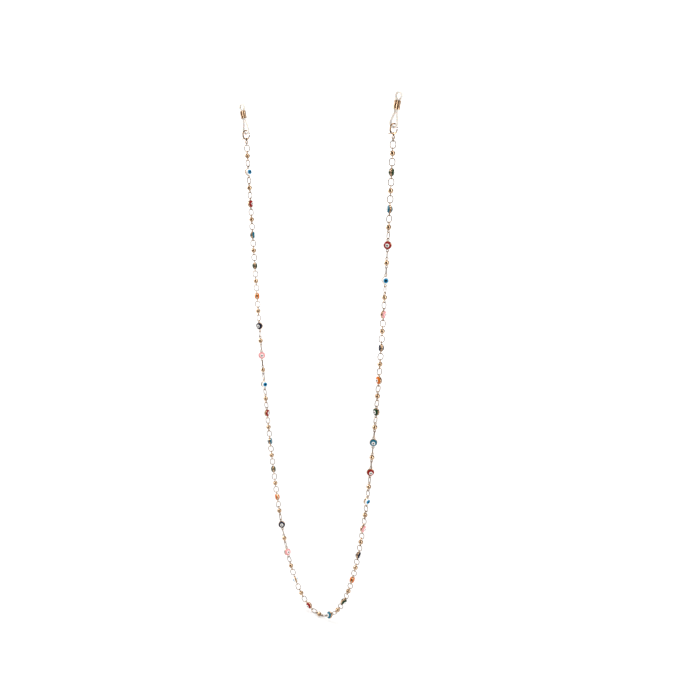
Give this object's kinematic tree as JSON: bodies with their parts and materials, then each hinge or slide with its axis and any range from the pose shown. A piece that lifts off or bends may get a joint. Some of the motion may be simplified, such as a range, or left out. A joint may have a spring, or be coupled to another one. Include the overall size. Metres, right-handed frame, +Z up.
{
  "type": "eyeglass chain",
  "caption": "Beaded glasses chain of enamel eye beads, gold balls and wire link rings, with a lobster clasp, crimp sleeve and elastic temple loop at each end.",
  "frame": {"origin": "halfway between the middles of the two elastic loops, where the temple arms of the glasses hold the chain", "axes": "+X from the left loop to the right loop, +Y back along the temple arms, +Z up; the chain hangs in the plane y = 0"},
  "size_m": [0.141, 0.0059, 0.3779],
  "materials": {
    "gold": "polished pale rose gold plating",
    "enamel": "glossy domed enamel in seven colours, each with a white ring and dark pupil",
    "clear_silicone": "milky clear, smooth",
    "spring_steel": "bright wire"
  },
  "bodies": {
    "temple_loops": {"elastic_loop_right": "clear_silicone", "elastic_loop_left": "clear_silicone"},
    "sleeve_right": {"crimp_sleeve_right": "gold"},
    "clasp_right": {"clasp_body_right": "gold", "clasp_pin_right": "gold", "clasp_spring_right": "spring_steel"},
    "lever_right": {"clasp_lever_right": "gold"},
    "chain_right_1": {"eye_frames_right_1": "gold", "enamel_eyes_right_1": "enamel", "gold_balls_right_1": "gold", "link_rings_right_1": "gold", "jump_ring_right": "gold"},
    "chain_right_2": {"eye_frames_right_2": "gold", "enamel_eyes_right_2": "enamel", "gold_balls_right_2": "gold", "link_rings_right_2": "gold"},
    "chain_right_3": {"eye_frames_right_3": "gold", "enamel_eyes_right_3": "enamel", "gold_balls_right_3": "gold", "link_rings_right_3": "gold"},
    "chain_right_4": {"eye_frames_right_4": "gold", "enamel_eyes_right_4": "enamel", "gold_balls_right_4": "gold", "link_rings_right_4": "gold"},
    "chain_right_5": {"eye_frames_right_5": "gold", "enamel_eyes_right_5": "enamel", "gold_balls_right_5": "gold", "link_rings_right_5": "gold"},
    "sleeve_left": {"crimp_sleeve_left": "gold"},
    "clasp_left": {"clasp_body_left": "gold", "clasp_pin_left": "gold", "clasp_spring_left": "spring_steel"},
    "lever_left": {"clasp_lever_left": "gold"},
    "chain_left_1": {"eye_frames_left_1": "gold", "enamel_eyes_left_1": "enamel", "gold_balls_left_1": "gold", "link_rings_left_1": "gold", "jump_ring_left": "gold"},
    "chain_left_2": {"eye_frames_left_2": "gold", "enamel_eyes_left_2": "enamel", "gold_balls_left_2": "gold", "link_rings_left_2": "gold"},
    "chain_left_3": {"eye_frames_left_3": "gold", "enamel_eyes_left_3": "enamel", "gold_balls_left_3": "gold", "link_rings_left_3": "gold"},
    "chain_left_4": {"eye_frames_left_4": "gold", "enamel_eyes_left_4": "enamel", "gold_balls_left_4": "gold", "link_rings_left_4": "gold"},
    "chain_left_5": {"eye_frames_left_5": "gold", "enamel_eyes_left_5": "enamel", "gold_balls_left_5": "gold", "link_rings_left_5": "gold"},
    "chain_bottom": {"eye_frames_bottom": "gold", "enamel_eyes_bottom": "enamel", "gold_balls_bottom": "gold", "link_rings_bottom": "gold"}
  },
  "joints": [
    {"name": "clasp_right_swing", "type": "hinge", "parent": "temple_loops", "child": "clasp_right", "pos_m": [0.06425, 0, -0.01795], "axis": [1, 0, 0], "range_deg": [-15, 15]},
    {"name": "chain_right_1_bend", "type": "hinge", "parent": "clasp_right", "child": "chain_right_1", "pos_m": [0.06395, 0, -0.02432], "axis": [1, 0, 0], "range_deg": [-20, 20]},
    {"name": "chain_right_2_bend", "type": "hinge", "parent": "chain_right_1", "child": "chain_right_2", "pos_m": [0.0611, 0, -0.08082], "axis": [1, 0, 0], "range_deg": [-20, 20]},
    {"name": "chain_right_3_bend", "type": "hinge", "parent": "chain_right_2", "child": "chain_right_3", "pos_m": [0.05696, 0, -0.1476], "axis": [1, 0, 0], "range_deg": [-20, 20]},
    {"name": "chain_right_4_bend", "type": "hinge", "parent": "chain_right_3", "child": "chain_right_4", "pos_m": [0.05149, 0, -0.21427], "axis": [1, 0, 0], "range_deg": [-20, 20]},
    {"name": "chain_right_5_bend", "type": "hinge", "parent": "chain_right_4", "child": "chain_right_5", "pos_m": [0.04338, 0, -0.28067], "axis": [1, 0, 0], "range_deg": [-20, 20]},
    {"name": "clasp_left_swing", "type": "hinge", "parent": "temple_loops", "child": "clasp_left", "pos_m": [-0.06425, 0, -0.01795], "axis": [1, 0, 0], "range_deg": [-15, 15]},
    {"name": "chain_left_1_bend", "type": "hinge", "parent": "clasp_left", "child": "chain_left_1", "pos_m": [-0.06395, 0, -0.02432], "axis": [1, 0, 0], "range_deg": [-20, 20]},
    {"name": "chain_left_2_bend", "type": "hinge", "parent": "chain_left_1", "child": "chain_left_2", "pos_m": [-0.0611, 0, -0.08082], "axis": [1, 0, 0], "range_deg": [-20, 20]},
    {"name": "chain_left_3_bend", "type": "hinge", "parent": "chain_left_2", "child": "chain_left_3", "pos_m": [-0.05696, 0, -0.1476], "axis": [1, 0, 0], "range_deg": [-20, 20]},
    {"name": "chain_left_4_bend", "type": "hinge", "parent": "chain_left_3", "child": "chain_left_4", "pos_m": [-0.05149, 0, -0.21427], "axis": [1, 0, 0], "range_deg": [-20, 20]},
    {"name": "chain_left_5_bend", "type": "hinge", "parent": "chain_left_4", "child": "chain_left_5", "pos_m": [-0.04338, 0, -0.28067], "axis": [1, 0, 0], "range_deg": [-20, 20]},
    {"name": "chain_bottom_bend", "type": "hinge", "parent": "chain_right_5", "child": "chain_bottom", "pos_m": [0.02763, 0, -0.34555], "axis": [1, 0, 0], "range_deg": [-20, 20]},
    {"name": "lever_right_open", "type": "hinge", "parent": "clasp_right", "child": "lever_right", "pos_m": [0.06439, 0.00052, -0.02136], "axis": [0.8651, -0.5, -0.0399], "range_deg": [0, 15], "stiffness_Nm_per_rad": 0.001, "springref_deg": -11.46},
    {"name": "sleeve_right_slide", "type": "slide", "parent": "temple_loops", "child": "sleeve_right", "axis": [-0.2079, 0, -0.9781], "range_m": [0, 0.0015]},
    {"name": "lever_left_open", "type": "hinge", "parent": "clasp_left", "child": "lever_left", "pos_m": [-0.06379, 0.00052, -0.02134], "axis": [0.8651, -0.5, 0.0399], "range_deg": [0, 15], "stiffness_Nm_per_rad": 0.001, "springref_deg": -11.46},
    {"name": "sleeve_left_slide", "type": "slide", "parent": "temple_loops", "child": "sleeve_left", "axis": [0.2079, 0, -0.9781], "range_m": [0, 0.0015]}
  ],
  "couplings": [
    {"joint": "clasp_left_swing", "follows": "clasp_right_swing", "ratio": 1},
    {"joint": "chain_left_1_bend", "follows": "chain_right_1_bend", "ratio": 1},
    {"joint": "chain_left_2_bend", "follows": "chain_right_2_bend", "ratio": 1},
    {"joint": "chain_left_3_bend", "follows": "chain_right_3_bend", "ratio": 1},
    {"joint": "chain_left_4_bend", "follows": "chain_right_4_bend", "ratio": 1},
    {"joint": "chain_left_5_bend", "follows": "chain_right_5_bend", "ratio": 1}
  ]
}
